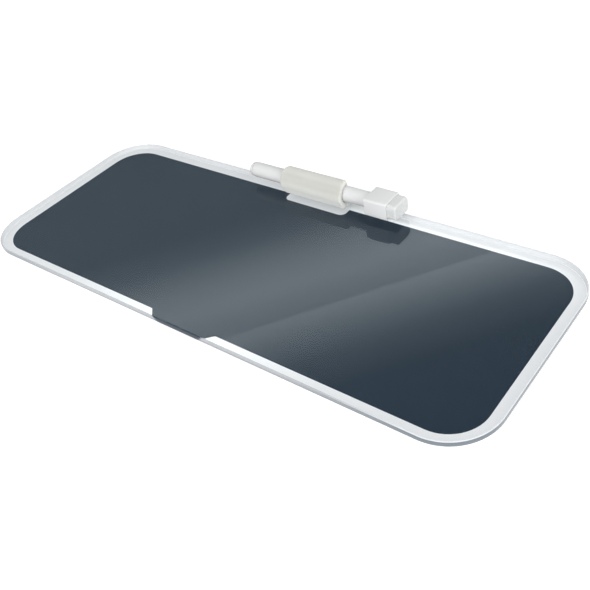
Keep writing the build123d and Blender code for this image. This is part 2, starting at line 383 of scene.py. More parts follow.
# Heights from the marker's axis below which the loop gets its full painted light and above which
# it gets none, and where painted light starts again towards its top, with how much there is
FULL_PAINTED_LIGHT_BELOW = -4.5 * MM
NO_PAINTED_LIGHT_ABOVE = 3.5 * MM
TOP_PAINTED_LIGHT_FROM = 6.5 * MM
TOP_PAINTED_LIGHT_SHARE = 0.35

# Where the painted light and shade on the glass edge change, as shares of the sheet's half length
CROWN_SHARES = (0.4, 0.82)
FOOT_SHARES = (-0.4, 0.8)
ARRIS_HIGHLIGHT_SHARES = (0.55, 0.8)
NEAR_END_SHARES = (-0.75, -0.5)
NEAR_END_SHADE_SHARE = 0.7
# Depth at which the painted highlight on the arris is brightest, blur of the dark tab, and how
# much narrower its foot is
ARRIS_CREST = 0.2 * MM
TAB_BLUR = 1 * MM
TAB_TAPER = 4 * MM


def moulded_plastic(name, base, roughness, depth=0.004 * MM):
    """Moulded plastic: faint flow marks in its colour, a fine skin and uneven gloss."""
    finish, tree, shader = new_finish(name)
    flow = pattern(tree, 60, detail=4.0, stretch=(0.35, 1, 1))
    wear = pattern(tree, 260, detail=5.0)
    values = {
        "Base Color": between(tree, flow, shade(base, 0.975), shade(base, 1.02)),
        "Roughness": spread(tree, wear, roughness - 0.04, roughness + 0.06),
        "Normal": relief(tree, pattern(tree, 900, detail=2.0), depth, 0.6),
        "Specular IOR Level": 0.3,
    }
    put(shader, values)
    return finish


def soft_silicone(name, base, glow=0.3, reach=1.2 * MM, foot=None):
    """Matte silicone: a powdery skin that light sinks into; a given foot colour is painted light
    that pales its foot and top.
    """
    finish, tree, shader = new_finish(name)
    cloud = pattern(tree, 90, detail=5.0, roughness=0.6)
    tone = between(tree, cloud, shade(base, 0.965), shade(base, 1.025))
    # Painted light: the foot colour pales the lower part and the top
    if foot is not None:
        tone = between(tree, painted_light_share(tree), tone, foot)
    depth = 0.02 * MM
    skin = relief(tree, pattern(tree, 2600, detail=2.0), depth, 0.35)
    values = {
        "Base Color": tone,
        "Roughness": spread(tree, pattern(tree, 300), 0.62, 0.78),
        "Normal": relief(tree, pattern(tree, 420), depth, 0.25, under=skin),
        "Subsurface Weight": glow,
        "Subsurface Scale": reach,
        "Subsurface Radius": (1.0, 1.0, 0.9),
        "Specular IOR Level": 0.3,
        "Sheen Weight": 0.12,
        "Sheen Roughness": 0.5,
    }
    put(shader, values)
    return finish


def painted_light_share(tree):
    """The share of painted light on the loop, from 0 to 1: fully at its foot, in part at the
    tube's top.
    """
    height = spot(tree)["Z"]
    below, above = AXIS_Z + FULL_PAINTED_LIGHT_BELOW, AXIS_Z + NO_PAINTED_LIGHT_ABOVE
    # Painted light, full at the foot and none above the axis
    solid = spread(tree, height, 1.0, 0.0, start=below, end=above)
    top = spread(tree, height, 0.0, TOP_PAINTED_LIGHT_SHARE, start=AXIS_Z + TOP_PAINTED_LIGHT_FROM, end=LOOP_HIGH.z)
    return reckon(tree, "ADD", solid, top)


def pressed_felt(name, base):
    """Pressed felt: matted fibres in two sizes, with the layers that run across its face."""
    finish, tree, shader = new_finish(name)
    mat = pattern(tree, 1500, detail=6.0, roughness=0.7, stretch=(1, 1, 0.35))
    tuft = pattern(tree, 520, detail=4.0, roughness=0.6, stretch=(1, 1, 0.5))
    light = between(tree, spread(tree, mat, 0.0, 1.0), shade(base, 0.84), shade(base, 1.06))
    fine = relief(tree, mat, 0.12 * MM, 0.7)
    values = {
        "Base Color": between(tree, spread(tree, tuft, 0.0, 0.45), light, shade(base, 0.93)),
        "Roughness": 0.95,
        "Normal": relief(tree, tuft, 0.25 * MM, 0.5, under=fine),
        "Specular IOR Level": 0.15,
        "Sheen Weight": 0.25,
        "Sheen Roughness": 0.6,
    }
    put(shader, values)
    return finish


def fibre_rod(name, base, along=0.08):
    """Bonded fibres that run along the marker, darker where they hold more ink."""
    finish, tree, shader = new_finish(name)
    strands = pattern(tree, 2600, detail=3.0, stretch=(along, 1, 1))
    wet = pattern(tree, 160, detail=2.0)
    dark = between(tree, spread(tree, strands, 0.0, 1.0), shade(base, 0.6), shade(base, 1.7))
    values = {
        "Base Color": between(tree, spread(tree, wet, 0.0, 0.4), dark, base),
        "Roughness": spread(tree, wet, 0.55, 0.85),
        "Normal": relief(tree, strands, 0.05 * MM, 0.6),
    }
    put(shader, values)
    return finish


def colour_coat(name, base, mottle=0.03, roughness=0.4, gloss=0.03, fade=None):
    """A sprayed coat on the back of the glass: even, with a faint cloud in its thickness, and,
    where a fade is given, painted shade darkening it towards the board's outer rim.
    """
    finish, tree, shader = new_finish(name)
    cloud = pattern(tree, 14, detail=3.0)
    speck = pattern(tree, 1400, detail=2.0)
    wide = between(tree, cloud, shade(base, 1 - mottle), shade(base, 1 + mottle))
    tone = between(tree, spread(tree, speck, 0.0, 0.3), wide, shade(base, 0.97))
    # Painted shade: the fade darkens the coat towards the board's outer rim
    if fade is not None:
        corner, width, share = fade
        depth = spread(tree, inward(tree, corner), share, 0.0, start=0.0, end=width)
        tone = between(tree, depth, tone, BLACK)
    values = {
        "Base Color": tone,
        "Roughness": spread(tree, speck, roughness, roughness + 0.1),
        "Specular IOR Level": gloss,
    }
    put(shader, values)
    return finish


def grained_sheet(name, base):
    """A calendered sheet with a fine pebble grain."""
    finish, tree, shader = new_finish(name)
    cloud = pattern(tree, 40, detail=4.0)
    values = {
        "Base Color": between(tree, cloud, shade(base, 0.94), shade(base, 1.04)),
        "Roughness": spread(tree, cloud, 0.55, 0.7),
        "Normal": relief(tree, cells(tree, 1400), 0.06 * MM, 0.5),
    }
    put(shader, values)
    return finish


def clear_film(name, base):
    """A thin translucent film or adhesive."""
    finish, tree, shader = new_finish(name)
    cloud = pattern(tree, 240, detail=3.0)
    values = {
        "Base Color": between(tree, cloud, shade(base, 0.95), shade(base, 1.03)),
        "Roughness": spread(tree, cloud, 0.25, 0.4),
        "Subsurface Weight": 0.2,
        "Subsurface Scale": 0.8 * MM,
    }
    put(shader, values)
    return finish


def let_light_through(tree, surface, tint, mirrored=True):
    """Passes light straight through the glass, so that the coats behind it are lit."""
    kinds = ("Shadow", "Diffuse", "Glossy") if mirrored else ("Shadow", "Diffuse")
    return mixed(tree, any_ray(tree, *kinds), surface, see_through(tree, tint))


def float_glass(name, tint, coat):
    """Clear float glass with faint wipe marks. Only a face with a coat mirrors."""
    finish, tree, shader = new_finish(name)
    wipe = pattern(tree, 22, detail=5.0, stretch=(0.4, 1.6, 1))
    values = {
        "Base Color": between(tree, wipe, shade(tint, 0.996), tint),
        "Roughness": spread(tree, wipe, 0.0, 0.02),
        "Transmission Weight": 1.0,
        "IOR": 1.01,
        "Coat Weight": coat,
        "Coat IOR": 1.3,
        "Coat Roughness": 0.01,
    }
    put(shader, values)
    show(tree, let_light_through(tree, shader.outputs["BSDF"], tint))
    return finish


def ground_edge(name, board):
    """The sheet's edge: satin from outside with painted light and shade, a painted reflection of
    the white border from inside, and dark along the front tab.
    """
    finish, tree, shader = new_finish(name)
    drawn = pattern(tree, 700, detail=3.0, stretch=(0.06, 0.06, 1))
    grey = between(tree, drawn, shade(WHITE, 0.97), shade(WHITE, 1.03))
    tab = tab_edge(tree, board)
    tone = between(tree, tab, edge_tone(tree, board), board.panel_colour)
    values = {
        "Base Color": times(tree, tone, grey),
        "Roughness": spread(tree, drawn, 0.30, 0.40),
        "Specular IOR Level": 0.3,
        "Coat Weight": spread(tree, tab, 0.6, 0.0, start=0.0, end=1.0),
        "Coat Roughness": 0.06,
    }
    put(shader, values)
    # Seen from inside, the edge is a plain white: a painted reflection of the white border
    pale = {"Color": times(tree, board.painted_inner_reflection_colour, grey)}
    inside = add_node(tree, "BsdfDiffuse", pale).outputs["BSDF"]
    through = let_light_through(tree, inside, WHITE, mirrored=False)
    show(tree, mixed(tree, seen_from_behind(tree), shader.outputs["BSDF"], through))
    return finish


def edge_tone(tree, board):
    """The edge's colour outside the tab: painted shade at its foot and towards its ends, painted
    light on its upper part, and a painted highlight on the arris.
    """
    x, _, z = spot(tree)
    end_shade = board.painted_edge_end_shade_colour

    def along(shares, low=0.0, high=1.0):
        start, end = (share * PANE_HIGH.x for share in shares)
        return spread(tree, x, low, high, start=start, end=end)

    # Painted light on the upper edge and painted shade at its foot, both darkening into painted
    # shade towards the far end
    lit_crown = between(tree, along(CROWN_SHARES), board.painted_edge_light_colour, end_shade)
    foot = between(tree, along(FOOT_SHARES), board.painted_edge_foot_shade_colour, end_shade)
    risen = spread(tree, z, 0.0, 1.0, start=PANE_LOW.z, end=PANE_HIGH.z)
    tone = between(tree, risen, foot, lit_crown)
    # More painted shade towards the near end
    tone = between(tree, along(NEAR_END_SHARES, NEAR_END_SHADE_SHARE, 0.0), tone, end_shade)
    # Painted highlight on the arris, towards the right end
    arris_highlight = between(tree, along(ARRIS_HIGHLIGHT_SHARES), board.painted_edge_light_colour, board.painted_arris_highlight_colour)
    low, high = PANE_HIGH.z - board.top_arris, PANE_HIGH.z - ARRIS_CREST
    return between(tree, spread(tree, z, 0.0, 1.0, start=low, end=high), tone, arris_highlight)


def tab_edge(tree, board):
    """A factor that is 1 on the front edge along the dark tab."""
    x, y, z = spot(tree)
    aside = reckon(tree, "ABSOLUTE", reckon(tree, "SUBTRACT", x, board.tab_middle))
    taper = spread(tree, z, TAB_TAPER, 0.0, start=PANE_LOW.z, end=PANE_HIGH.z)
    low, high = board.tab_half - TAB_BLUR, board.tab_half + TAB_BLUR
    across = spread(tree, reckon(tree, "ADD", aside, taper), 1.0, 0.0, start=low, end=high)
    front = spread(tree, y, 1.0, 0.0, start=-TAB_BLUR, end=TAB_BLUR)
    return reckon(tree, "MULTIPLY", across, front)


# Mesh tools


def add_object(name, data):
    """Adds an object that holds a mesh, a lamp or a camera."""
    added = bpy.data.objects.new(name, data)
    bpy.context.scene.collection.objects.link(added)
    return added


def add_mesh(name, bm):
    """Turns a bmesh into an object."""
    mesh = bpy.data.meshes.new(name)
    bm.to_mesh(mesh)
    bm.free()
    return add_object(name, mesh)


def add_sheet(name, half):
    """Adds a flat square, by half its side."""
    bm = bmesh.new()
    bmesh.ops.create_grid(bm, x_segments=1, y_segments=1, size=half)
    return add_mesh(name, bm)


def smooth(piece, sharp):
    """Shades a piece smooth, with edges past an angle in degrees left sharp."""
    piece.data.shade_smooth()
    piece.data.set_sharp_from_angle(angle=math.radians(sharp))


def make_piece(name, bm, body, finishes, nodes=(), sharp=40):
    """Turns a bmesh into a finished piece that rides on a body and stands for CAD nodes."""
    bmesh.ops.recalc_face_normals(bm, faces=bm.faces)
    piece = add_mesh(name, bm)
    smooth(piece, sharp)
    for finish in finishes:
        piece.data.materials.append(finish)
    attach(piece, body)
    if nodes:
        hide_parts(*nodes)
    return piece


def settle(piece):
    """Replaces a piece's mesh by what its modifiers make of it."""
    graph = bpy.context.evaluated_depsgraph_get()
    made = bpy.data.meshes.new_from_object(piece.evaluated_get(graph))
    piece.modifiers.clear()
    piece.data = made


def dress(node, finish):
    """Gives a CAD node that stays its finish."""
    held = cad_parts[node]
    held.data.materials.clear()
    held.data.materials.append(finish)


def soften(bm, parts, radius, segments=4, affect="EDGES"):
    """Rounds edges, or the corners of a flat face, with an even bevel."""
    bmesh.ops.bevel(
        bm,
        geom=parts,
        offset=radius,
        offset_type="OFFSET",
        segments=segments,
        profile=0.5,
        affect=affect,
        material=-1,
        clamp_overlap=affect == "EDGES",
    )


def turned(bm, profile, closed, steps=96):
    """Adds a turned body from stations along the marker and their radii."""
    points = [bm.verts.new((x, AXIS_Y, AXIS_Z + r)) for x, r in profile]
    pairs = list(zip(points, points[1:]))
    if closed:
        pairs.append((points[-1], points[0]))
    lines = [bm.edges.new(pair) for pair in pairs]
    bmesh.ops.spin(
        bm,
        geom=points + lines,
        cent=(0, AXIS_Y, AXIS_Z),
        axis=(1, 0, 0),
        dvec=(0, 0, 0),
        angle=math.tau,
        steps=steps,
        use_merge=True,
        use_duplicate=False,
    )
    bmesh.ops.remove_doubles(bm, verts=bm.verts, dist=SAME)


def rounded_plate(bm, low, high, corner, segments):
    """Adds an upright prism over a rounded rectangle."""
    middle = (Vector(low) + Vector(high)) / 2
    size = Vector(high) - Vector(low)
    before = set(bm.faces)
    seat = Matrix.Translation((middle.x, middle.y, low[2]))
    stretch = Matrix.Diagonal((size.x, size.y, 1, 1))
    made = bmesh.ops.create_grid(bm, x_segments=1, y_segments=1, size=0.5, matrix=seat @ stretch)
    soften(bm, made["verts"], corner, segments, affect="VERTICES")
    outline = [face for face in bm.faces if face not in before]
    lifted = bmesh.ops.extrude_face_region(bm, geom=outline)
    risen = [item for item in lifted["geom"] if isinstance(item, bmesh.types.BMVert)]
    bmesh.ops.translate(bm, verts=risen, vec=(0, 0, size.z))


def bar(bm, low, high):
    """Adds a rectangular bar between two corners and returns its vertices."""
    middle, size = (Vector(low) + Vector(high)) / 2, Vector(high) - Vector(low)
    matrix = Matrix.Translation(middle) @ Matrix.Diagonal((*size, 1))
    return bmesh.ops.create_cube(bm, size=1.0, matrix=matrix)["verts"]


def cut_across(bm, place, axis):
    """Cuts all edges and faces of a shape by a plane through a place, across an axis."""
    bmesh.ops.bisect_plane(
        bm,
        geom=bm.verts[:] + bm.edges[:] + bm.faces[:],
        dist=SAME,
        plane_co=place,
        plane_no=axis,
    )


def edges_on(bm, fits):
    """The edges with both ends in a place that fits."""
    return [edge for edge in bm.edges if all(fits(vertex.co) for vertex in edge.verts)]


def ring(bm, station, radius):
    """The edges of the ring at a station and a radius about the marker's axis."""

    def on_ring(point):
        out = math.hypot(point.y - AXIS_Y, point.z - AXIS_Z)
        return abs(point.x - station) < NEAR and abs(out - radius) < NEAR

    return edges_on(bm, on_ring)


def level_edges(bm, height):
    """The edges that lie at a height."""
    return edges_on(bm, lambda point: abs(point.z - height) < SAME)


def end_edges(bm, station):
    """The edges in the plane across the marker at a station."""
    return edges_on(bm, lambda point: abs(point.x - station) < SAME)


def long_edges(bm):
    """The edges that run along the marker."""
    runs = ((edge, edge.verts[0].co - edge.verts[1].co) for edge in bm.edges)
    return [edge for edge, run in runs if abs(run.y) < SAME and abs(run.z) < SAME]


# Operators, one for each group of pieces


class WHITEBOARD_OT_glass(bpy.types.Operator):
    """Makes the glass sheet with its rounded corners and polished edge"""

    bl_idname = "whiteboard.glass"
    bl_label = "Glass sheet"

    def execute(self, context):
        board = context.scene.whiteboard_board
        low = PANE_LOW + Vector((0, 0, board.bond_gap))
        bm = bmesh.new()
        rounded_plate(bm, low, PANE_HIGH, board.corner_radius, segments=32)
        soften(bm, level_edges(bm, PANE_HIGH.z), board.top_arris)
        soften(bm, level_edges(bm, low.z), board.bottom_arris, segments=5)
        bmesh.ops.recalc_face_normals(bm, faces=bm.faces)
        for face in bm.faces:
            if abs(face.normal.z) > LEVEL:
                face.material_index = 0 if face.normal.z > 0 else 1
            else:
                face.material_index = 2
        finishes = (
            float_glass("writing_face_glass", board.glass_tint, coat=1.0),
            float_glass("bonded_face_glass", board.glass_tint, coat=0.0),
            ground_edge("polished_glass_edge", board),
        )
        nodes = ["glass_sheet"]
        pane = make_piece("glass_pane", bm, "board", finishes, nodes, sharp=30)
        for face in pane.data.polygons:
            face.use_smooth = face.material_index == 2
        return {"FINISHED"}


class WHITEBOARD_OT_coats(bpy.types.Operator):
    """Finishes the dark panel, the white border and the backing sheet"""

    bl_idname = "whiteboard.coats"
    bl_label = "Colour coats and backing"

    def execute(self, context):
        board = context.scene.whiteboard_board
        dress("panel_print", colour_coat("dark_coat", board.panel_colour))
        # Painted shade on the white border towards its outer rim
        fade = (board.corner_radius, board.border_width, board.painted_rim_shade_share)
        white = colour_coat(
            "white_coat", board.border_colour, mottle=0.012, roughness=0.12, gloss=1.0, fade=fade
        )
        dress("border_print", white)
        dress("backing_sheet", grained_sheet("backing_grain", board.backing_colour))
        return {"FINISHED"}


class WHITEBOARD_OT_feet(bpy.types.Operator):
    """Makes the dished silicone feet"""

    bl_idname = "whiteboard.feet"
    bl_label = "Feet"

    def execute(self, context):
        feet = context.scene.whiteboard_feet
        silicone = soft_silicone("foot_silicone", feet.foot_colour)
        for node in FOOT_NODES:
            low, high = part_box(node)
            centre = (low + high) / 2
            radius = (high.x - low.x) / 2
            bm = bmesh.new()
            bmesh.ops.create_cone(
                bm,
                cap_ends=True,
                cap_tris=False,
                segments=64,
                radius1=radius,
                radius2=radius,
                depth=high.z - low.z,
                matrix=Matrix.Translation(centre),
            )
            soften(bm, level_edges(bm, low.z), feet.rim_radius)
            under = [face for face in bm.faces if face.calc_center_median().z < low.z + NEAR]
            for width, rise in ((feet.ring_width, 0), (feet.dish_slope, -feet.dish_depth)):
                bmesh.ops.inset_region(bm, faces=under, thickness=width, depth=rise)
            make_piece(f"{node}_pad", bm, "board", [silicone], [node], sharp=35)
        return {"FINISHED"}


class WHITEBOARD_OT_loop(bpy.types.Operator):
    """Makes the soft loop as one blended skin: tube, web and flange"""

    bl_idname = "whiteboard.loop"
    bl_label = "Soft loop"

    def execute(self, context):
        loop = context.scene.whiteboard_loop
        outer = (LOOP_HIGH.y - LOOP_LOW.y) / 2
        inner = (BARREL_HIGH.y - BARREL_LOW.y) / 2 + loop.bore_play
        start, end = LOOP_LOW.x, LOOP_HIGH.x
        bm = bmesh.new()
        raise_web(bm, loop, (inner + outer) / 2)
        turned(bm, [(start, inner), (start, outer), (end, outer), (end, inner)], closed=True)
        for station in (start, end):
            soften(bm, ring(bm, station, outer), loop.end_radius, segments=6)
            soften(bm, ring(bm, station, inner), loop.end_radius / 3, segments=3)
        centre = AXIS_Y - loop.end_arc_offset
        for vertex in bm.verts:
            if vertex.co.x > 0:
                reach = loop.end_arc_radius**2 - (vertex.co.y - centre) ** 2
                vertex.co.x -= loop.end_arc_radius - math.sqrt(max(reach, 0.0))
        flange_top = LOOP_LOW.z + loop.flange_thickness
        rounded_plate(
            bm,
            (start, AXIS_Y - loop.flange_width / 2, LOOP_LOW.z),
            (end, AXIS_Y + loop.flange_width / 2, flange_top),
            loop.flange_corner,
            segments=10,
        )
        # The foot colour is painted light on the loop's foot and top
        silicone = soft_silicone(
            "loop_silicone", loop.loop_colour, glow=1.0, reach=4 * MM, foot=loop.foot_colour
        )
        piece = make_piece("soft_loop", bm, "board", [silicone], ["pen_holder"])
        skin = piece.modifiers.new("One skin", "REMESH")
        skin.mode = "VOXEL"
        skin.voxel_size = loop.voxel
        skin.use_smooth_shade = True
        even = piece.modifiers.new("Even out", "SMOOTH")
        even.factor = 0.5
        even.iterations = 6
        settle(piece)
        piece.data.shade_smooth()
        dress("holder_tape", clear_film("loop_adhesive", loop.tape_colour))
        return {"FINISHED"}


def raise_web(bm, loop, inside):
    """Adds the web between flange and tube: flared, and hollowed on top to clear the bore."""
    low, head = LOOP_LOW.z, AXIS_Z - loop.web_head_drop
    half = loop.flange_width / 2
    corners = bar(bm, (LOOP_LOW.x, AXIS_Y - half, low), (LOOP_HIGH.x, AXIS_Y + half, head))
    flare = loop.web_head_width / loop.flange_width
    for vertex in corners:
        if vertex.co.z > low + loop.flange_thickness:
            vertex.co.y = AXIS_Y + (vertex.co.y - AXIS_Y) * flare
    upright = [edge for edge in bm.edges if abs(edge.verts[0].co.z - edge.verts[1].co.z) > MM]
    soften(bm, upright, loop.end_radius)
    strips = 16
    for strip in range(1, strips):
        across = AXIS_Y + loop.web_head_width * (strip / strips - 0.5)
        cut_across(bm, (0, across, 0), (0, 1, 0))
    for vertex in bm.verts:
        if vertex.co.z > head - NEAR:
            drop = math.sqrt(max(inside**2 - (vertex.co.y - AXIS_Y) ** 2, 0.0))
            vertex.co.z = min(head, AXIS_Z - drop)


class WHITEBOARD_OT_marker(bpy.types.Operator):
    """Makes the marker's barrel and tail plug, and finishes its writing end"""

    bl_idname = "whiteboard.marker"
    bl_label = "Marker"

    def execute(self, context):
        marker = context.scene.whiteboard_marker
        plastic = moulded_plastic("barrel_plastic", marker.barrel_colour, roughness=0.45)
        radius = (BARREL_HIGH.y - BARREL_LOW.y) / 2
        bore = radius - marker.barrel_wall
        rear, front = BARREL_LOW.x, BARREL_HIGH.x
        bm = bmesh.new()
        turned(bm, [(rear, bore), (rear, radius), (front, radius), (front, bore)], closed=True)
        soften(bm, ring(bm, rear, radius), marker.rear_radius, segments=7)
        for vertex in bm.verts:
            if vertex.co.x < rear + marker.rear_radius + NEAR:
                vertex.co.x = rear + (vertex.co.x - rear) * marker.rear_length / marker.rear_radius
        soften(bm, ring(bm, front, radius), marker.front_radius, segments=3)
        make_piece("barrel", bm, "marker", [plastic], ["pen_barrel"])

        head = (TAIL_HIGH.y - TAIL_LOW.y) / 2
        stem = bore - marker.stem_play
        bm = bmesh.new()
        profile = [(TAIL_LOW.x, 0), (TAIL_LOW.x, head), (rear, head), (rear, stem)]
        turned(bm, [*profile, (TAIL_HIGH.x, stem), (TAIL_HIGH.x, 0)], closed=False)
        soften(bm, ring(bm, TAIL_LOW.x, head), marker.plug_rounding, segments=8)
        soften(bm, ring(bm, rear, head), marker.seam_radius, segments=3)
        tail = moulded_plastic("plug_plastic", shade(marker.barrel_colour, 0.99), roughness=0.45)
        make_piece("tail_end", bm, "marker", [tail], ["tail_plug"])

        dress("reservoir_core", fibre_rod("ink_reservoir", marker.nib_colour))
        dress("reservoir_sleeve", clear_film("reservoir_film", marker.film_colour))
        section = moulded_plastic("section_plastic", marker.section_colour, roughness=0.3)
        dress("nib_section", section)
        dress("nib", fibre_rod("nib_fibre", marker.nib_colour, along=0.2))
        return {"FINISHED"}


class WHITEBOARD_OT_cap(bpy.types.Operator):
    """Makes the cap block with its socket and the eraser's pocket"""

    bl_idname = "whiteboard.cap"
    bl_label = "Cap block"

    def execute(self, context):
        cap = context.scene.whiteboard_cap
        bm = bmesh.new()
        bar(bm, BLOCK_LOW, BLOCK_HIGH)
        soften(bm, long_edges(bm), cap.edge_radius, segments=8)
        for station in (BLOCK_LOW.x, BLOCK_HIGH.x):
            soften(bm, end_edges(bm, station), cap.end_radius, segments=4)
        plastic = moulded_plastic("cap_plastic", cap.block_colour, roughness=0.5, depth=0.006 * MM)
        nodes = ["cap_block"]
        piece = make_piece("cap_shell", bm, "cap", [plastic], nodes, sharp=35)

        cutter = add_cutter(cap)
        cutter_mesh = cutter.data
        bore = piece.modifiers.new("Socket", "BOOLEAN")
        bore.operation = "DIFFERENCE"
        bore.solver = "EXACT"
        bore.object = cutter
        settle(piece)
        bpy.data.objects.remove(cutter)
        bpy.data.meshes.remove(cutter_mesh)
        smooth(piece, sharp=35)

        liner = moulded_plastic("liner_plastic", cap.liner_colour, roughness=0.42)
        dress("cap_liner", liner)
        return {"FINISHED"}


def add_cutter(cap):
    """The shape that is cut out of the cap block: the eraser's pocket and the stepped socket."""
    socket = (BARREL_HIGH.y - BARREL_LOW.y) / 2 + cap.socket_play
    liner = (LINER_HIGH.y - LINER_LOW.y) / 2 + cap.socket_play / 2
    bm = bmesh.new()
    seat = BLOCK_HIGH.x - cap.pocket_depth
    wall = Vector((0, cap.rim, cap.rim))
    pocket = Vector((seat, BLOCK_LOW.y, BLOCK_LOW.z)) + wall
    bar(bm, pocket, BLOCK_HIGH - wall + Vector((OVERRUN, 0, 0)))
    soften(bm, long_edges(bm), cap.felt_radius + cap.felt_play, segments=8)
    rear = BLOCK_LOW.x - OVERRUN
    profile = [(rear, 0), (rear, socket), (LINER_LOW.x, socket), (LINER_LOW.x, liner)]
    turned(bm, [*profile, (LINER_HIGH.x, liner), (LINER_HIGH.x, 0)], closed=False)
    bmesh.ops.recalc_face_normals(bm, faces=bm.faces)
    return add_mesh("socket_cutter", bm)


# The felt's unevenness: how fine it is, and the smoothness, step and count of its octaves
FELT_GRAIN = 900
FELT_OCTAVES = (0.8, 2.0, 3)
# A fibre's shortest length, its lift off the felt, and how far out of its root its middle stands
FIBRE_LENGTH_SHARE = 0.4
FIBRE_LIFT_SHARE = 0.35
FIBRE_MIDDLE_SHARE = 0.35
# Seeds of the random draws, and the slope past which a face of the felt grows no fibres
FIBRE_SEED, ROOT_SEED = 7, 3
BACK_SLOPE = -0.5


class WHITEBOARD_OT_eraser(bpy.types.Operator):
    """Makes the felt eraser with its loose fibres"""

    bl_idname = "whiteboard.eraser"
    bl_label = "Felt eraser"

    def execute(self, context):
        cap = context.scene.whiteboard_cap
        felt = pressed_felt("eraser_felt", cap.felt_colour)
        bm = bmesh.new()
        bar(bm, FELT_LOW, FELT_HIGH)
        soften(bm, long_edges(bm), cap.felt_radius, segments=6)
        soften(bm, end_edges(bm, FELT_HIGH.x), cap.felt_end_radius, segments=5)
        roots = spread_roots(bm, cap)
        for axis in range(3):
            slice_up(bm, axis, FELT_LOW[axis], FELT_HIGH[axis], cap.felt_slice)
        bm.normal_update()
        for vertex in bm.verts:
            rise = noise.fractal(vertex.co * FELT_GRAIN, *FELT_OCTAVES) * cap.felt_rise
            vertex.co += vertex.normal * (rise - cap.felt_rise)
        piece = make_piece("felt_block", bm, "cap", [felt], ["eraser_felt"])

        chance = random.Random(FIBRE_SEED)
        bm = bmesh.new()
        for root, out in roots:
            lean = Vector([chance.uniform(-1, 1) for _ in range(3)])
            heading = (out * FIBRE_LIFT_SHARE + lean - out * lean.dot(out)).normalized()
            reach = cap.fibre_length * chance.uniform(FIBRE_LENGTH_SHARE, 1.0)
            turn = heading.to_track_quat("Z", "Y").to_matrix().to_4x4()
            bmesh.ops.create_cone(
                bm,
                cap_ends=True,
                cap_tris=False,
                segments=3,
                radius1=cap.fibre_root_radius,
                radius2=cap.fibre_tip_radius,
                depth=reach,
                matrix=Matrix.Translation(root + heading * reach * FIBRE_MIDDLE_SHARE) @ turn,
            )
        make_piece("felt_fibres", bm, "cap", [felt])
        dress("eraser_tape", clear_film("eraser_adhesive", cap.tape_colour))
        return {"FINISHED"}


def spread_roots(bm, cap):
    """Places for loose fibres, spread evenly over the faces that stand out of the pocket."""
    chance = random.Random(ROOT_SEED)
    bare = [face for face in bm.faces if face.normal.x > BACK_SLOPE]
    areas = [face.calc_area() for face in bare]
    roots = []
    while len(roots) < cap.fibre_count:
        face = chance.choices(bare, weights=areas)[0]
        corners = [vertex.co for vertex in face.verts]
        fan = list(zip(corners[1:], corners[2:]))
        sizes = [(b - corners[0]).cross(c - corners[0]).length for b, c in fan]
        second, third = chance.choices(fan, weights=sizes)[0]
        along, across = sorted((chance.random(), chance.random()))
        root = corners[0] * along + second * (across - along) + third * (1 - across)
        if root.x > BLOCK_HIGH.x:
            roots.append((root, face.normal.copy()))
    return roots


def slice_up(bm, axis, low, high, pitch):
    """Cuts a shape across an axis into even slices."""
    across = Vector([float(index == axis) for index in range(3)])
    count = math.ceil((high - low) / pitch)
    for step in range(1, count):
        cut_across(bm, across * (low + (high - low) * step / count), across)


class WHITEBOARD_OT_stage(bpy.types.Operator):
    """Sets up the camera, the soft lamps, the pale floor and the card that the glass mirrors"""

    bl_idname = "whiteboard.stage"
    bl_label = "Studio"

    def execute(self, context):
        stage = context.scene.whiteboard_stage
        scene = context.scene
        scene.view_settings.view_transform = "Standard"

        lens = bpy.data.cameras.new("photo_camera")
        lens.lens = stage.lens
        lens.sensor_width = stage.sensor
        lens.clip_start = 0.01
        lens.clip_end = 50
        camera = add_object("photo_camera", lens)
        camera.location = stage.camera_place
        camera.rotation_euler = stage.camera_turn
        scene.camera = camera

        add_lamp("front_lamp", stage.front_power, stage.front_place, stage.front_size)
        add_lamp("side_lamp", stage.side_power, stage.side_place, stage.side_size)
        add_lamp("back_lamp", stage.back_power, stage.back_place, stage.back_size)
        light_sky(stage)
        lay_floor(stage)
        hang_card(stage)
        return {"FINISHED"}


# Rays to which the sky and the floor look white: from the camera, a mirror or through glass
SEEN_RAYS = ("Camera", "Glossy", "Transmission")


def add_lamp(name, power, place, size):
    """A square softbox at a place, turned to the board and hidden from mirrors."""
    lamp = bpy.data.lights.new(name, "AREA")
    lamp.energy = power
    lamp.size = size
    holder = add_object(name, lamp)
    holder.visible_glossy = False
    holder.location = place
    holder.rotation_euler = (-Vector(place)).to_track_quat("-Z", "Y").to_euler()


def light_sky(stage):
    """An even sky that is white to the eye and soft on the object."""
    world = bpy.data.worlds.new("studio_sky")
    bpy.context.scene.world = world
    world.use_nodes = True
    tree = world.node_tree
    seen = any_ray(tree, *SEEN_RAYS)
    strength = spread(tree, seen, stage.sky_strength, 1.0, start=0.0, end=1.0)
    put(tree.nodes["Background"], {"Color": WHITE, "Strength": strength})


def lay_floor(stage):
    """A pale floor that keeps the object's shadow and is white around it."""
    floor = add_sheet("floor", stage.floor_size / 2)
    finish, tree, shader = new_finish("floor_paint")
    cloud = pattern(tree, 3, detail=2.0)
    rise_start, rise_end = stage.floor_rise_start, stage.floor_rise_end
    away = span(tree, own_place(tree))
    glow = spread(tree, away, stage.floor_glow, 1.0, start=rise_start, end=rise_end)
    values = {
        "Base Color": between(tree, cloud, shade(stage.floor_colour, 0.995), stage.floor_colour),
        "Roughness": 0.9,
        "Specular IOR Level": 0.0,
        "Emission Color": WHITE,
        "Emission Strength": reckon(tree, "MULTIPLY", any_ray(tree, *SEEN_RAYS), glow),
    }
    put(shader, values)
    paint = shader.outputs["BSDF"]
    show(tree, mixed(tree, seen_from_behind(tree), paint, see_through(tree)))
    floor.data.materials.append(finish)


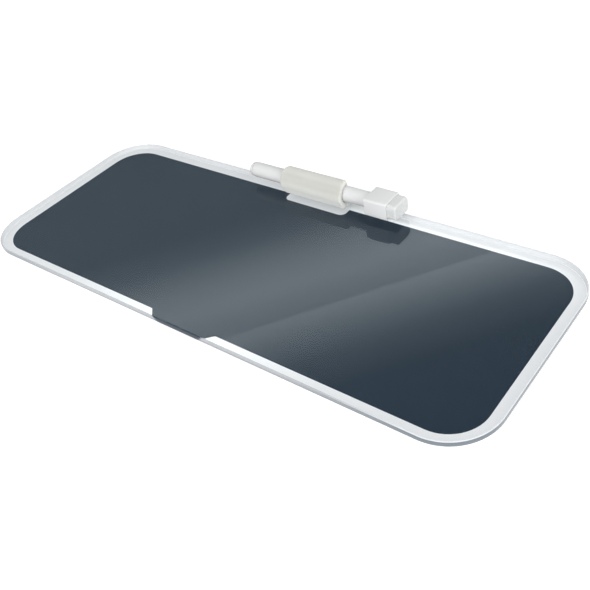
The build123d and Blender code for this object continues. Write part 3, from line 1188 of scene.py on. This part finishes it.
# The crease in the glass's sheen: a point on the board, and the way across it
CREASE = (51.1 * MM, -46.75 * MM)
ACROSS_CREASE = (0.8159, -0.5782)

# Glow of the card across the crease: millimetres on the board, and share of the brightest
CARD_GLOW_SHARES = (
    (-250, 0.07),
    (-105, 0.13),
    (-80, 0.25),
    (-48, 0.70),
    (-28, 0.90),
    (-0.6, 0.70),
    (0.6, 1.0),
    (38, 0.26),
    (62, 0.05),
    (110, 0.0),
)


def hang_card(stage):
    """A graded glowing card overhead, which only mirrors show."""
    eye = Vector(stage.camera_place)
    glass = PANE_HIGH.z
    below = Vector((eye.x, eye.y, 2 * glass - eye.z))
    growth = (stage.card_height - below.z) / (glass - below.z)
    card = add_sheet("mirror_card", stage.card_reach)
    card.location = below + (Vector((*CREASE, glass)) - below) * growth
    card.rotation_euler = (0, 0, math.atan2(ACROSS_CREASE[1], ACROSS_CREASE[0]))
    for rays in ("camera", "diffuse", "shadow", "transmission"):
        setattr(card, f"visible_{rays}", False)

    finish, tree, shader = new_finish("card_glow")
    tree.nodes.remove(shader)
    tone = card_tone(tree, stage.card_colour, growth)
    values = {"Color": tone, "Strength": stage.card_strength}
    glow = add_node(tree, "Emission", values).outputs["Emission"]
    away = span(tree, own_place(tree))
    rim = spread(tree, away, 0.0, 1.0, start=stage.card_fade_start, end=stage.card_reach)
    show(tree, mixed(tree, rim, glow, see_through(tree)))
    finish.cycles.emission_sampling = "NONE"
    card.data.materials.append(finish)


def card_tone(tree, tint, growth):
    """The card's colour along its length, whose stops stand wider apart the higher it hangs."""
    first, last = CARD_GLOW_SHARES[0][0], CARD_GLOW_SHARES[-1][0]
    start, end = first * MM * growth, last * MM * growth
    along = spread(tree, spot(tree)["X"], 0.0, 1.0, start=start, end=end)
    ramp = add_node(tree, "ValToRGB", {"Fac": along})
    stops = ramp.color_ramp.elements
    while len(stops) < len(CARD_GLOW_SHARES):
        stops.new(0.5)
    for stop, (where, share) in zip(stops, CARD_GLOW_SHARES):
        stop.position = (where - first) / (last - first)
        stop.color = (*shade(tint, share), 1.0)
    return ramp.outputs["Color"]


class VIEW3D_PT_whiteboard(bpy.types.Panel):
    """Lists the pieces of the whiteboard"""

    bl_label = "Desk whiteboard"
    bl_category = "Whiteboard"
    bl_space_type = "VIEW_3D"
    bl_region_type = "UI"

    def draw(self, context):
        for operator in OPERATORS:
            self.layout.operator(operator.bl_idname)


SETTINGS = {
    "whiteboard_board": BoardSettings,
    "whiteboard_feet": FeetSettings,
    "whiteboard_loop": LoopSettings,
    "whiteboard_marker": MarkerSettings,
    "whiteboard_cap": CapSettings,
    "whiteboard_stage": StageSettings,
}
OPERATORS = (
    WHITEBOARD_OT_glass,
    WHITEBOARD_OT_coats,
    WHITEBOARD_OT_feet,
    WHITEBOARD_OT_loop,
    WHITEBOARD_OT_marker,
    WHITEBOARD_OT_cap,
    WHITEBOARD_OT_eraser,
    WHITEBOARD_OT_stage,
)


def register():
    for group in (*SETTINGS.values(), *OPERATORS, VIEW3D_PT_whiteboard):
        bpy.utils.register_class(group)
    for name, group in SETTINGS.items():
        setattr(bpy.types.Scene, name, bpy.props.PointerProperty(type=group))


def unregister():
    for name in SETTINGS:
        delattr(bpy.types.Scene, name)
    for group in reversed((*SETTINGS.values(), *OPERATORS, VIEW3D_PT_whiteboard)):
        bpy.utils.unregister_class(group)


def main():
    register()
    bpy.ops.whiteboard.glass()
    bpy.ops.whiteboard.coats()
    bpy.ops.whiteboard.feet()
    bpy.ops.whiteboard.loop()
    bpy.ops.whiteboard.marker()
    bpy.ops.whiteboard.cap()
    bpy.ops.whiteboard.eraser()
    bpy.ops.whiteboard.stage()


if __name__ == "__main__":
    main()
